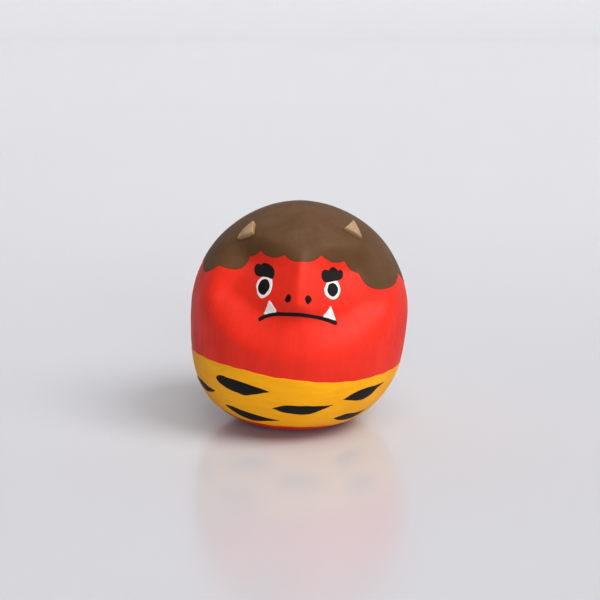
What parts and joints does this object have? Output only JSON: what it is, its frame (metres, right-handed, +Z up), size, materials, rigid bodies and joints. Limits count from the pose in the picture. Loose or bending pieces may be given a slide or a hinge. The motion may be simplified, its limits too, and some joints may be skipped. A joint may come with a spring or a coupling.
{
  "type": "daruma doll",
  "caption": "Round hollow papier-mache daruma doll with a flat weighted foot, painted as a horned red ogre with scowling face, brown hair and tiger-striped loincloth.",
  "frame": {"origin": "middle of the flat foot, on the surface that the doll stands on", "axes": "+Z up; the face looks along -Y; +X is to the right as seen from the front; the body leans 4.5 degrees towards +X"},
  "size_m": [0.0651, 0.0647, 0.0673],
  "materials": {
    "red_body": "papier-mache under matte brushed vermilion paint",
    "hair_brown": "thick matte brown paint",
    "loincloth_yellow": "thick matte golden yellow paint",
    "ink_black": "matte black brush paint",
    "tooth_white": "matte shell-white brush paint",
    "horn_tan": "paper pulp horns under matte tan paint",
    "clay": "air-dried clay",
    "paste": "dried flour paste and paper scraps"
  },
  "bodies": {
    "root": {"front_shell": "red_body", "rear_shell": "red_body", "seam_strip": "red_body", "base_patch": "red_body", "clay_weight": "clay", "glue_fillet": "paste", "hair_paint": "hair_brown", "loincloth_paint": "loincloth_yellow", "tiger_stripe_01": "ink_black", "tiger_stripe_02": "ink_black", "tiger_stripe_03": "ink_black", "tiger_stripe_04": "ink_black", "tiger_stripe_05": "ink_black", "tiger_stripe_06": "ink_black", "tiger_stripe_07": "ink_black", "tiger_stripe_08": "ink_black", "tiger_stripe_09": "ink_black", "tiger_stripe_10": "ink_black", "tiger_stripe_11": "ink_black", "tiger_stripe_12": "ink_black", "tiger_stripe_13": "ink_black", "tiger_stripe_14": "ink_black", "tiger_stripe_15": "ink_black", "brow_left": "ink_black", "brow_right": "ink_black", "eye_white_left": "tooth_white", "eye_white_right": "tooth_white", "pupil_left": "ink_black", "pupil_right": "ink_black", "nostril_left": "ink_black", "nostril_right": "ink_black", "mouth_line": "ink_black", "fang_left": "tooth_white", "fang_right": "tooth_white", "horn_left": "horn_tan", "horn_right": "horn_tan"}
  },
  "joints": []
}
